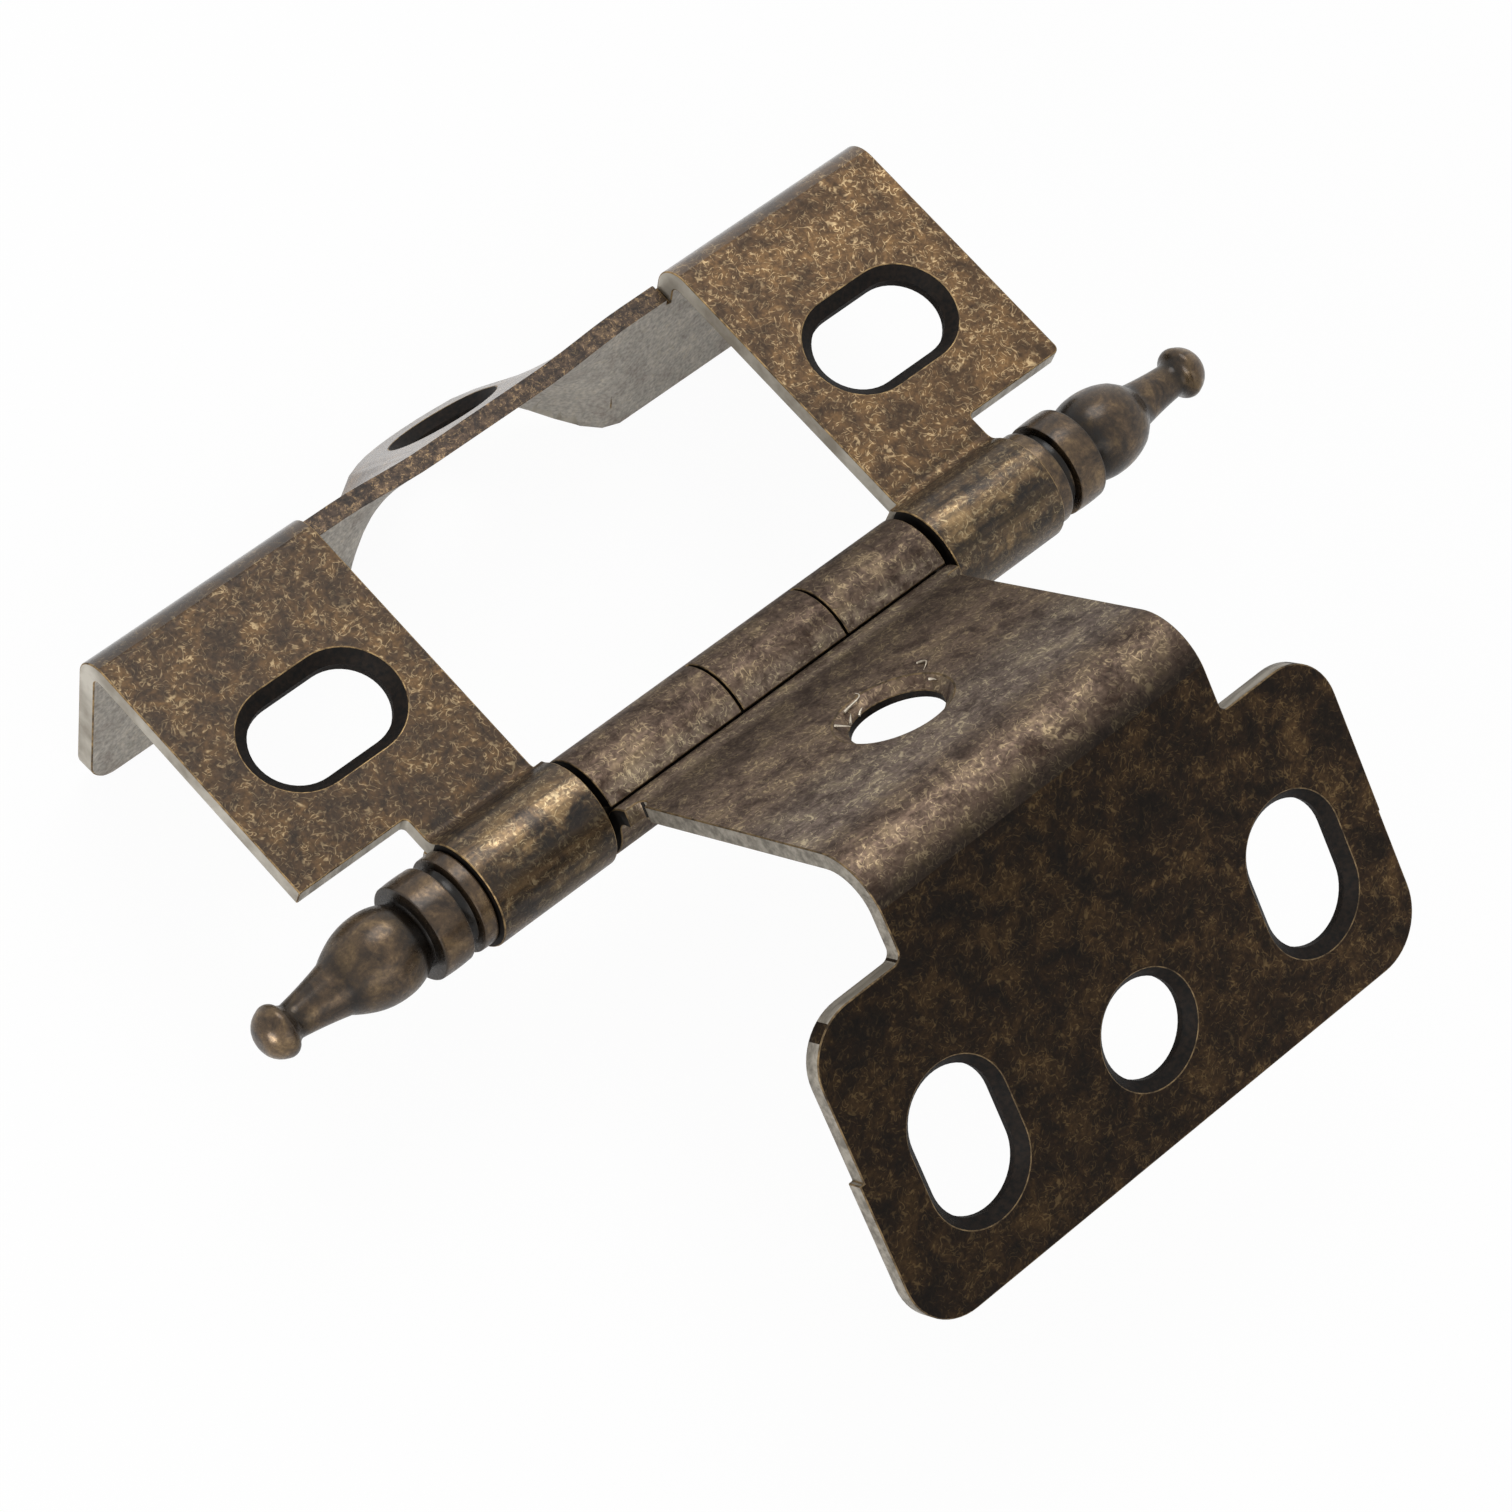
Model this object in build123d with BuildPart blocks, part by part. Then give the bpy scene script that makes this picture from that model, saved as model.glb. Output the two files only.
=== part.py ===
from build123d import *
import math
import os

os.makedirs("parts", exist_ok=True)

# Full inset hinge, two stamped leaves rolled round one pin with a turned finial at each end.
# X runs along the barrel, Y from the barrel towards the frame leaf's flange, Z up from its
# tabs. The origin is the middle of the barrel. The door leaf stands part open, as pictured.

# Sheet, pin and barrel
frame_sheet = 1.15
door_sheet = 1.0
pin_r = 1.93
turning_gap = 0.05
frame_bore = pin_r + turning_gap
frame_roll = frame_bore + frame_sheet
door_bore = pin_r
door_roll = door_bore + door_sheet
open_angle = 47.3

# Frame leaf: knuckles, tabs and flange
leaf_half = 27.5
tab_top = 1.17
valley_r = 0.78
roll_end = 0.0
knuckle_in = 12.61
knuckle_out = 20.40
reach = 21.77
frame_bend = 1.65
flange_lean = 8.0
flange_foot = -10.1
flange_corner = 1.75
tab_near = 4.76
tab_notch = 20.38
notch_r = 0.3
near_corner = 0.4

# Frame leaf: window, cut edge of the flange and its formed tongue
window_half = 13.19
window_step = 3.0
strip_top = -0.95
relief_w = 0.35
relief_d = 0.45
tongue_lean = 28.2
tongue_draw = 0.3
twist_start = 10.5
twist_left = 4.5
twist_right = 3.5
twist_steps = 20
tongue_side = 8.0
lobe_r = 5.8
lobe_down = 4.5
lobe_x = -0.1
tongue_hole_down = 5.2
tongue_hole_r = 2.7

# Frame leaf: screw slots, sunk for a flat screw head
frame_slot_x = 20.13
frame_slot_y = 11.6
frame_slot_run = 1.65
frame_slot_r = 2.52
sink_wide = 0.7
sink_deep = 0.6
sink_taper = math.degrees(math.atan2(sink_wide, sink_deep))

# Door leaf: first face
plate_top = 0.59
shoulder_r = 1.85
curl_end = 11.5
door_knuckle = 12.12
plate_half = 11.45
plate_start = 4.0
plate_relief = 0.42
slit_left = -2.79
slit_right = 4.84
slit_wide = 0.16
slit_reach = 104.0
plate_hole_u = 12.1
plate_hole_r = 2.6

# Door leaf: bend and second face, which leans outwards a little
ear_face = 22.48
ear_lean = 2.2
door_bend = 3.3
ear_half = 18.4
ear_top = -5.06
ear_foot = -23.27
ear_corner_top = 3.15
ear_corner_foot = 3.3
ear_neck_left = 0.55
ear_neck_right = 0.45
step_left = 0.28
step_left_w = -13.6
step_right = 0.08
step_right_w = -15.4
ear_shift = 0.17
ear_slot_x = 12.23
ear_slot_w = -15.5
ear_slot_run = 1.36
ear_slot_r = 2.75
ear_hole_w = -17.0
ear_hole_r = 2.68
ear_sink = 0.55
ear_taper = math.degrees(math.atan2(ear_sink, sink_deep))

# Finials, turned: length and radius of each part, from the knuckle outwards
finial_gap = 0.1
finial_start = knuckle_out + finial_gap
spigot_r = 1.2
spigot_long = 5.6
spigot_gap = 0.2
spigot_edge = 0.25
turned_edge = 0.15
ring_r = 2.82
ring_long = 0.9
groove_r = 2.5
groove_long = 0.7
collar_r = 2.76
collar_long = 1.9
collar_edge = 0.3
waist_r = 2.1
waist_long = 0.3
bulb_r = 2.5
bulb_long = 3.7
shoulder_long = 0.9
neck_r = 1.62
neck_long = 3.25
neck_end_r = 0.97
knob_r = 1.4
knob_long = 1.85
knob_edge = 0.5
tip_r = 0.55

# Frame leaf profile, one sheet: roll, valley, tab, bend and flange
valley_z = tab_top + valley_r
valley_y = math.sqrt((frame_roll + valley_r) ** 2 - valley_z ** 2)
valley_deg = math.degrees(math.atan2(valley_z, valley_y))
bend_y = reach - frame_bend
bend_z = tab_top - frame_bend
lean_rad = math.radians(flange_lean)
lean_dir = (-math.sin(lean_rad), -math.cos(lean_rad))
bend_in = frame_bend - frame_sheet
out_tip = (bend_y + frame_bend * math.cos(lean_rad), bend_z - frame_bend * math.sin(lean_rad))
in_tip = (bend_y + bend_in * math.cos(lean_rad), bend_z - bend_in * math.sin(lean_rad))
flange_run = (out_tip[1] - flange_foot) / math.cos(lean_rad)
out_foot = (out_tip[0] + flange_run * lean_dir[0], out_tip[1] + flange_run * lean_dir[1])
in_foot = (in_tip[0] + flange_run * lean_dir[0], in_tip[1] + flange_run * lean_dir[1])

# Top of the tongue, where the flange is left square cut under the window
strip_out_run = (out_tip[1] - strip_top) / math.cos(lean_rad)
strip_out = out_tip[0] + strip_out_run * lean_dir[0]
strip_thick = frame_sheet / math.cos(lean_rad)
strip_in = strip_out - strip_thick


def tongue_section(lean_deg, foot_len, drawn):
    # four corners of the sheet at one place along the tongue, y and z
    a = math.radians(lean_deg)
    down = (math.sin(a), -math.cos(a))
    face = (math.cos(a), math.sin(a))
    thick = strip_thick * math.cos(a)
    top_in = strip_in - drawn
    foot_in = (top_in + foot_len * down[0], strip_top + foot_len * down[1])
    foot_out = (foot_in[0] + thick * face[0], foot_in[1] + thick * face[1])
    return [(top_in, strip_top), foot_in, foot_out, (strip_out - drawn, strip_top)]


flange_len = (strip_top - in_foot[1]) / math.cos(lean_rad)


def twist_at(x):
    # how far the sheet is turned at x: 0 in the flange, 1 in the tongue
    full = -twist_left if x < 0 else twist_right
    far = -twist_start if x < 0 else twist_start
    part = max(0.0, min(1.0, (x - far) / (full - far)))
    return part * part * (3 - 2 * part)


def foot_at(x):
    # length of the sheet at x, with a round lobe about the screw hole
    length = flange_len + (tongue_side - flange_len) * twist_at(x)
    aside = abs(x - lobe_x)
    if aside < lobe_r:
        length = max(length, lobe_down + math.sqrt(lobe_r**2 - aside**2))
    return length


tongue_rad = math.radians(tongue_lean)
tongue_face = Plane(
    origin=(0, strip_in - tongue_draw, strip_top),
    x_dir=(1, 0, 0),
    z_dir=(0, math.cos(tongue_rad), math.sin(tongue_rad)),
)
tongue_thick = strip_thick * math.cos(tongue_rad)

with BuildPart() as frame_leaf:
    with BuildSketch(Plane.YZ):
        with BuildLine():
            roll_size = 360.0 - valley_deg + roll_end
            roll_out = CenterArc((0, 0), frame_roll, valley_deg, roll_size)
            roll_in = CenterArc((0, 0), frame_bore, valley_deg, roll_size)
            Line(roll_out @ 1, roll_in @ 1)
            turn = 90.0 - valley_deg
            CenterArc((valley_y, valley_z), valley_r, 180.0 + valley_deg, turn)
            CenterArc((valley_y, valley_z), valley_r + frame_sheet, 180.0 + valley_deg, turn)
            Line((valley_y, tab_top), (bend_y, tab_top))
            Line((valley_y, tab_top - frame_sheet), (bend_y, tab_top - frame_sheet))
            CenterArc((bend_y, bend_z), frame_bend, -flange_lean, 90.0 + flange_lean)
            CenterArc((bend_y, bend_z), bend_in, -flange_lean, 90.0 + flange_lean)
            Line(out_tip, out_foot)
            Line(out_foot, in_foot)
            Line(in_foot, in_tip)
        make_face()
    extrude(amount=leaf_half, both=True)

    # Window through the tabs, a little wider than the gap between the knuckles
    with BuildSketch(Plane.XY.offset(strip_top)):
        with Locations((0, (window_step + 2 * reach) / 2)):
            Rectangle(2 * window_half, 2 * reach - window_step)
        with Locations((0, (window_step - 2 * frame_roll) / 2)):
            Rectangle(2 * knuckle_in, window_step + 2 * frame_roll)
    extrude(amount=3 * frame_roll, mode=Mode.SUBTRACT)
    with BuildSketch(Plane.XY.offset(-2 * frame_roll)):
        with Locations((0, (window_step - 2 * frame_roll) / 2)):
            Rectangle(2 * knuckle_in, window_step + 2 * frame_roll)
    extrude(amount=4 * frame_roll, mode=Mode.SUBTRACT)

    # Near edge of the tabs, cut back beyond the knuckles
    near_wide = leaf_half - tab_notch
    near_deep = tab_near + 2 * frame_roll
    with BuildSketch(Plane.XY.offset(-2 * frame_roll)) as near_cut:
        with Locations(
            (-(tab_notch + near_wide), tab_near - near_deep / 2),
            (tab_notch + near_wide, tab_near - near_deep / 2),
        ):
            Rectangle(2 * near_wide, near_deep)
        inner = near_cut.vertices().group_by(Axis.Y)[-1].sort_by(lambda v: abs(v.X))[:2]
        fillet(inner, notch_r)
    extrude(amount=4 * frame_roll, mode=Mode.SUBTRACT)

    # Middle of the flange, twisted out of its lean into the tongue
    with BuildSketch(Plane.XZ.offset(-reach)):
        with Locations((0, (strip_top + 2 * flange_foot) / 2)):
            Rectangle(2 * twist_start, strip_top - 2 * flange_foot)
    extrude(amount=reach / 4, both=True, mode=Mode.SUBTRACT)
    for step in range(twist_steps + 1):
        at = twist_start * (2 * step / twist_steps - 1)
        lean = (tongue_lean + flange_lean) * twist_at(at) - flange_lean
        drawn = tongue_draw * twist_at(at)
        with BuildSketch(Plane.YZ.offset(at)):
            with BuildLine():
                Polyline(*tongue_section(lean, foot_at(at), drawn), close=True)
            make_face()
    loft(ruled=True)

    # Screw hole of the tongue, sunk from its outer face
    with BuildSketch(tongue_face):
        with Locations((0, tongue_hole_down)):
            Circle(tongue_hole_r)
    extrude(amount=2 * tongue_thick, both=True, mode=Mode.SUBTRACT)
    with BuildSketch(tongue_face.offset(tongue_thick)):
        with Locations((0, tongue_hole_down)):
            Circle(tongue_hole_r + sink_wide)
    extrude(
        amount=-sink_deep,
        taper=sink_taper,
        mode=Mode.SUBTRACT,
    )

    # Small reliefs at both ends of the strip
    with BuildSketch(Plane.XZ.offset(-reach)):
        with Locations(
            (-(window_half - relief_w / 2), strip_top),
            (window_half - relief_w / 2, strip_top),
        ):
            Rectangle(relief_w, 2 * relief_d)
    extrude(amount=reach / 4, both=True, mode=Mode.SUBTRACT)

    # Screw slots of the two tabs
    with BuildSketch(Plane.XY.offset(tab_top)):
        with Locations((-frame_slot_x, frame_slot_y), (frame_slot_x, frame_slot_y)):
            SlotCenterToCenter(2 * frame_slot_run, 2 * frame_slot_r)
    extrude(amount=-2 * frame_sheet, mode=Mode.SUBTRACT)
    with BuildSketch(Plane.XY.offset(tab_top)):
        with Locations((-frame_slot_x, frame_slot_y), (frame_slot_x, frame_slot_y)):
            SlotCenterToCenter(2 * frame_slot_run, 2 * (frame_slot_r + sink_wide))
    extrude(
        amount=-sink_deep,
        taper=sink_taper,
        mode=Mode.SUBTRACT,
    )

    # Rounded corners of the tabs and of the flange
    upright = frame_leaf.edges().filter_by(Axis.Z)
    fillet(upright.filter_by(lambda e: e.center().X > leaf_half - 0.01), near_corner)
    foot = frame_leaf.edges().filter_by(lambda e: abs(abs(e.center().X) - leaf_half) < 0.01)
    fillet(foot.filter_by(lambda e: e.center().Z < flange_foot + 0.3), flange_corner)

frame_leaf.part.label = "frame_leaf"
export_step(frame_leaf.part, "parts/frame_leaf.step")

# Door leaf, its own directions: u away from the barrel, w up from the first face
open_rad = math.radians(open_angle)
u_dir = Vector(0, -math.cos(open_rad), math.sin(open_rad))
w_dir = Vector(0, math.sin(open_rad), math.cos(open_rad))
door_side = Plane(origin=(0, 0, 0), x_dir=u_dir, z_dir=(-1, 0, 0))
first_face = Plane(origin=w_dir * plate_top, x_dir=(1, 0, 0), z_dir=w_dir * -1)
ear_rad = math.radians(ear_lean)
ear_out = u_dir * math.cos(ear_rad) + w_dir * math.sin(ear_rad)
second_face = Plane(origin=u_dir * ear_face, x_dir=(1, 0, 0), z_dir=ear_out)

# Shoulder: the first face dips round it into the roll
centre_w = plate_top - shoulder_r
centre_u = math.sqrt((door_bore + shoulder_r) ** 2 - centre_w ** 2)
join_deg = math.degrees(math.atan2(centre_w, centre_u))
door_bend_w = plate_top - door_bend
door_bend_u = ear_face - (door_bend + door_bend_w * math.sin(ear_rad)) / math.cos(ear_rad)
neck_foot = ear_top - ear_corner_top
neck_out = (ear_face - neck_foot * math.sin(ear_rad), neck_foot * math.cos(ear_rad))
neck_in = (
    neck_out[0] - door_sheet * math.cos(ear_rad),
    neck_out[1] - door_sheet * math.sin(ear_rad),
)


def ear_height(edge):
    # height of an edge on the second face, measured along that face
    return second_face.to_local_coords(edge.center()).Y

with BuildPart() as door_leaf:
    with BuildSketch(door_side):
        with BuildLine():
            curl_size = 360.0 + join_deg - curl_end
            curl_out = CenterArc((0, 0), door_roll, join_deg, -curl_size)
            curl_in = CenterArc((0, 0), door_bore, join_deg, -curl_size)
            Line(curl_out @ 1, curl_in @ 1)
            CenterArc((centre_u, centre_w), shoulder_r, 90.0, 90.0 + join_deg)
            CenterArc((centre_u, centre_w), shoulder_r - door_sheet, 90.0, 90.0 + join_deg)
            Line((centre_u, plate_top), (door_bend_u, plate_top))
            Line((centre_u, plate_top - door_sheet), (door_bend_u, plate_top - door_sheet))
            bend_size = 90.0 - ear_lean
            inner_r = door_bend - door_sheet
            bend_out = CenterArc((door_bend_u, door_bend_w), door_bend, ear_lean, bend_size)
            bend_back = CenterArc((door_bend_u, door_bend_w), inner_r, ear_lean, bend_size)
            Line(bend_out @ 0, neck_out)
            Line(neck_out, neck_in)
            Line(neck_in, bend_back @ 0)
        make_face()
    extrude(amount=door_knuckle, both=True)

    # First face, bend and neck, narrower than the knuckle, with a relief at each corner
    with BuildSketch(first_face):
        with Locations(
            (-(plate_half + door_knuckle) / 2, plate_start + ear_face / 2),
            ((plate_half + door_knuckle) / 2, plate_start + ear_face / 2),
        ):
            Rectangle(door_knuckle - plate_half, ear_face)
        with Locations(
            (-plate_half, plate_start + plate_relief), (plate_half, plate_start + plate_relief)
        ):
            Circle(plate_relief)
    extrude(amount=ear_face, both=True, mode=Mode.SUBTRACT)

    # Second face, wider than the neck, its lower part set off sideways by the die
    with BuildSketch(second_face):
        with BuildLine():
            Polyline(
                (-ear_half, ear_top),
                (-ear_half, step_left_w),
                (-ear_half - step_left, step_left_w),
                (-ear_half - step_left, ear_foot),
                (ear_half - step_right, ear_foot),
                (ear_half - step_right, step_right_w),
                (ear_half, step_right_w),
                (ear_half, ear_top),
                close=True,
            )
        outline = make_face()
        corners = outline.vertices().sort_by(Axis.Y)
        fillet(corners[-2:], ear_corner_top)
    extrude(amount=-door_sheet)
    neck_edges = door_leaf.edges().filter_by(
        lambda e: abs(e.length - door_sheet) < 0.01
        and abs(abs(e.center().X) - plate_half) < 0.01
        and abs(ear_height(e) - ear_top) < 0.01
    )
    fillet(neck_edges.filter_by(lambda e: e.center().X < 0), ear_neck_left)
    fillet(neck_edges.filter_by(lambda e: e.center().X > 0), ear_neck_right)
    foot_edges = door_leaf.edges().filter_by(
        lambda e: abs(e.length - door_sheet) < 0.01
        and abs(e.center().X) > ear_half - door_sheet
        and abs(ear_height(e) - ear_foot) < 0.01
    )
    fillet(foot_edges, ear_corner_foot)

    # The roll is slit into three fingers
    with BuildSketch(door_side.offset(-slit_left)) as slit_shape:
        with BuildLine():
            reach_deg = slit_reach - curl_end
            slit_out = CenterArc((0, 0), door_roll + 0.2, curl_end - 0.5, reach_deg + 0.5)
            slit_in = CenterArc((0, 0), door_bore - 0.1, curl_end - 0.5, reach_deg + 0.5)
            Line(slit_out @ 0, slit_in @ 0)
            Line(slit_out @ 1, slit_in @ 1)
        make_face()
    extrude(amount=slit_wide / 2, both=True, mode=Mode.SUBTRACT)
    with BuildSketch(door_side.offset(-slit_right)):
        with BuildLine():
            slit_out = CenterArc((0, 0), door_roll + 0.2, curl_end - 0.5, reach_deg + 0.5)
            slit_in = CenterArc((0, 0), door_bore - 0.1, curl_end - 0.5, reach_deg + 0.5)
            Line(slit_out @ 0, slit_in @ 0)
            Line(slit_out @ 1, slit_in @ 1)
        make_face()
    extrude(amount=slit_wide / 2, both=True, mode=Mode.SUBTRACT)

    # Screw hole of the first face
    with BuildSketch(first_face):
        with Locations((0, plate_hole_u)):
            Circle(plate_hole_r)
    extrude(amount=2 * door_sheet, mode=Mode.SUBTRACT)
    with BuildSketch(first_face):
        with Locations((0, plate_hole_u)):
            Circle(plate_hole_r + sink_wide)
    extrude(amount=sink_deep, taper=sink_taper, mode=Mode.SUBTRACT)

    # Screw slots and middle hole of the second face, punched a little to one side
    ear_slots = [(ear_shift - ear_slot_x, ear_slot_w), (ear_shift + ear_slot_x, ear_slot_w)]
    with BuildSketch(second_face):
        with Locations(*ear_slots):
            SlotCenterToCenter(2 * ear_slot_run, 2 * ear_slot_r, rotation=90)
        with Locations((ear_shift, ear_hole_w)):
            Circle(ear_hole_r)
    extrude(amount=-2 * door_sheet, mode=Mode.SUBTRACT)
    with BuildSketch(second_face):
        with Locations(*ear_slots):
            SlotCenterToCenter(2 * ear_slot_run, 2 * (ear_slot_r + ear_sink), rotation=90)
        with Locations((ear_shift, ear_hole_w)):
            Circle(ear_hole_r + ear_sink)
    extrude(amount=-sink_deep, taper=ear_taper, mode=Mode.SUBTRACT)

door_leaf.part.label = "door_leaf"
export_step(door_leaf.part, "parts/door_leaf.step")

# Pin: full size through the knuckles, a thinner spigot at each end for the finials
with BuildPart() as hinge_pin:
    with BuildSketch(Plane.YZ):
        Circle(pin_r)
    extrude(amount=finial_start, both=True)
    with BuildSketch(Plane.YZ.offset(finial_start)):
        Circle(spigot_r)
    extrude(amount=spigot_long)
    with BuildSketch(Plane.YZ.offset(-finial_start)):
        Circle(spigot_r)
    extrude(amount=-spigot_long)
    tips = hinge_pin.faces().sort_by(Axis.X)
    chamfer(tips[0].edges() + tips[-1].edges(), spigot_edge)

hinge_pin.part.label = "hinge_pin"
export_step(hinge_pin.part, "parts/hinge_pin.step")

# Finial, turned: ring, groove, collar, bulb, neck and a flat knob
ring_end = finial_start + ring_long
collar_start = ring_end + groove_long
collar_end = collar_start + collar_long
bulb_start = collar_end + waist_long
bulb_end = bulb_start + bulb_long
neck_start = bulb_end + shoulder_long
knob_start = neck_start + neck_long
knob_end = knob_start + knob_long
bore_end = finial_start + spigot_long + spigot_gap

with BuildPart() as finial_right:
    with BuildSketch(Plane.XY):
        with BuildLine():
            Polyline(
                (bulb_start, waist_r),
                (collar_end, waist_r),
                (collar_end, collar_r - collar_edge),
                (collar_end - collar_edge, collar_r),
                (collar_start + collar_edge, collar_r),
                (collar_start, collar_r - collar_edge),
                (collar_start, groove_r),
                (ring_end, groove_r),
                (ring_end - turned_edge, ring_r),
                (finial_start + turned_edge, ring_r),
                (finial_start, ring_r - turned_edge),
                (finial_start, spigot_r),
                (bore_end, spigot_r),
                (bore_end, 0),
                (knob_end, 0),
                (knob_end, tip_r),
            )
            ThreePointArc(
                (bulb_start, waist_r),
                ((bulb_start + bulb_end) / 2, bulb_r),
                (bulb_end, waist_r),
            )
            Polyline(
                (bulb_end, waist_r),
                (neck_start, neck_r),
                (knob_start, neck_end_r),
                (knob_start + knob_edge, knob_r),
                (knob_end - knob_edge, knob_r),
                (knob_end, tip_r),
            )
        make_face()
    revolve(axis=Axis.X)

finial_right.part.label = "finial_right"
export_step(finial_right.part, "parts/finial_right.step")

with BuildPart() as finial_left:
    add(finial_right.part.mirror(Plane.YZ))

finial_left.part.label = "finial_left"
export_step(finial_left.part, "parts/finial_left.step")
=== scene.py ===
import math

import bmesh
import bpy
from mathutils import Euler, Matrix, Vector


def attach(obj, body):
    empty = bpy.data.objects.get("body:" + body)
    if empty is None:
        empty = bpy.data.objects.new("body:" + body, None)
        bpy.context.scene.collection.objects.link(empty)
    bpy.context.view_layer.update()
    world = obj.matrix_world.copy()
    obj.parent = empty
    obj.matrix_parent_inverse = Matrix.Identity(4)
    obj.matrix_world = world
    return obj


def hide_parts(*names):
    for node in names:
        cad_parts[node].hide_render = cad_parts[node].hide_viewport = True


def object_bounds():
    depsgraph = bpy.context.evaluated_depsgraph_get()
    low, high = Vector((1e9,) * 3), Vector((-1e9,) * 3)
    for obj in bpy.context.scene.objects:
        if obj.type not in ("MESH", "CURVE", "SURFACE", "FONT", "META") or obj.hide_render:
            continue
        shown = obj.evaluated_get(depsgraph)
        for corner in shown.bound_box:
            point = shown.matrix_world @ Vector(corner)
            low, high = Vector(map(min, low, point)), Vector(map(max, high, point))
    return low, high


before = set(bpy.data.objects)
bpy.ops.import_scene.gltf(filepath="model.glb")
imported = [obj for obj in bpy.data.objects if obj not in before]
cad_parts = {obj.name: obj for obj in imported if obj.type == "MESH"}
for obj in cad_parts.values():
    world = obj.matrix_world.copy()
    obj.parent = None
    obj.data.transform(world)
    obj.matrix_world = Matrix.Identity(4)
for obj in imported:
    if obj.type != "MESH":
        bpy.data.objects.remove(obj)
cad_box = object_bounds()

# Camera: looks down on the hinge from its left, near side, as the photograph does. Its place,
# turn and lens are the ones that put the hinge's outline where the photograph has it.
camera_place = (-0.13059, -0.06465, 0.24341)
camera_turn_deg = (27.944, -12.045, -42.859)
film_width_mm = 36.0
lens_mm = 129.12
nearest_seen = 0.01

camera_data = bpy.data.cameras.new("camera")
camera_data.sensor_width = film_width_mm
camera_data.lens = lens_mm
camera_data.clip_start = nearest_seen
camera = bpy.data.objects.new("camera", camera_data)
camera.location = camera_place
camera.rotation_euler = Euler([math.radians(angle) for angle in camera_turn_deg])
bpy.context.scene.collection.objects.link(camera)
bpy.context.scene.camera = camera
bpy.context.scene.view_settings.view_transform = "Standard"

# Studio: a pale paper floor under the lowest edge, a white sweep all round and three soft lamps.
# The sweep is plain white for the camera and in reflections, and dimmer as a light, so that
# the lamps can shape the metal.
floor_half = 1.2
floor_drop = 0.0002
floor_colour = "#f6f6f6"
floor_rough = 0.9
floor_glow = 0.95
sweep_colour = "#ffffff"
sweep_seen = 1.0
sweep_light = 0.5
# name, place and width in metres, watts
softboxes = (
    ("back_softbox", (0.16, 0.26, 0.42), 0.30, 0.8),
    ("left_softbox", (-0.50, -0.10, 0.14), 0.30, 1.6),
    ("front_softbox", (-0.10, -0.42, 0.30), 0.35, 0.25),
)


def linear(hex_colour):
    # an sRGB colour as written on screen, turned to the linear one that the shaders take
    parts = [int(hex_colour[i : i + 2], 16) / 255 for i in (1, 3, 5)]
    parts = [p / 12.92 if p <= 0.04045 else ((p + 0.055) / 1.055) ** 2.4 for p in parts]
    return (*parts, 1.0)


def add_node(tree, kind, settings=None, inputs=None):
    # one node with its own options, and with a value or another node's output on its sockets
    node = tree.nodes.new(kind)
    for option, value in (settings or {}).items():
        setattr(node, option, value)
    for socket, value in (inputs or {}).items():
        if isinstance(value, bpy.types.NodeSocket):
            tree.links.new(value, node.inputs[socket])
        else:
            node.inputs[socket].default_value = value
    return node.outputs


floor_mesh = bmesh.new()
bmesh.ops.create_grid(floor_mesh, x_segments=1, y_segments=1, size=floor_half)
bmesh.ops.translate(floor_mesh, verts=floor_mesh.verts, vec=(0, 0, cad_box[0][2] - floor_drop))
floor_data = bpy.data.meshes.new("studio_floor")
floor_mesh.to_mesh(floor_data)
floor_mesh.free()
floor = bpy.data.objects.new("studio_floor", floor_data)
bpy.context.scene.collection.objects.link(floor)

# matt paper that the camera sees nearly plain white, with a faint shadow left on it
floor_paper = bpy.data.materials.new("white studio paper")
floor_paper.use_nodes = True
tree = floor_paper.node_tree
paper = tree.nodes["Principled BSDF"]
paper.inputs["Base Color"].default_value = linear(floor_colour)
paper.inputs["Roughness"].default_value = floor_rough
to_camera = add_node(tree, "ShaderNodeLightPath")["Is Camera Ray"]
share = add_node(tree, "ShaderNodeMath", {"operation": "MULTIPLY"}, {0: to_camera, 1: floor_glow})
glow = add_node(
    tree, "ShaderNodeEmission", inputs={"Color": linear(sweep_colour), "Strength": sweep_seen}
)
look = add_node(tree, "ShaderNodeMixShader", inputs={0: share[0], 1: paper.outputs[0], 2: glow[0]})
tree.links.new(look[0], tree.nodes["Material Output"].inputs["Surface"])
floor_data.materials.append(floor_paper)

world = bpy.data.worlds.new("white sweep")
world.use_nodes = True
bpy.context.scene.world = world
tree = world.node_tree
lit = tree.nodes["Background"]
lit.inputs["Color"].default_value = linear(sweep_colour)
lit.inputs["Strength"].default_value = sweep_light
seen = add_node(
    tree, "ShaderNodeBackground", inputs={"Color": linear(sweep_colour), "Strength": sweep_seen}
)
rays = add_node(tree, "ShaderNodeLightPath")
straight_or_mirrored = add_node(
    tree,
    "ShaderNodeMath",
    {"operation": "MAXIMUM"},
    {0: rays["Is Camera Ray"], 1: rays["Is Glossy Ray"]},
)
shown = add_node(
    tree,
    "ShaderNodeMath",
    {"operation": "MAXIMUM"},
    {0: straight_or_mirrored[0], 1: rays["Is Transmission Ray"]},
)
sweep = add_node(tree, "ShaderNodeMixShader", inputs={0: shown[0], 1: lit.outputs[0], 2: seen[0]})
tree.links.new(sweep[0], tree.nodes["World Output"].inputs["Surface"])

for lamp_name, place, size, watts in softboxes:
    lamp_data = bpy.data.lights.new(lamp_name, "AREA")
    lamp_data.shape = "DISK"
    lamp_data.size = size
    lamp_data.energy = watts
    lamp = bpy.data.objects.new(lamp_name, lamp_data)
    lamp.location = place
    lamp.rotation_euler = (-Vector(place)).to_track_quat("-Z", "Y").to_euler()
    bpy.context.scene.collection.objects.link(lamp)

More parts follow.
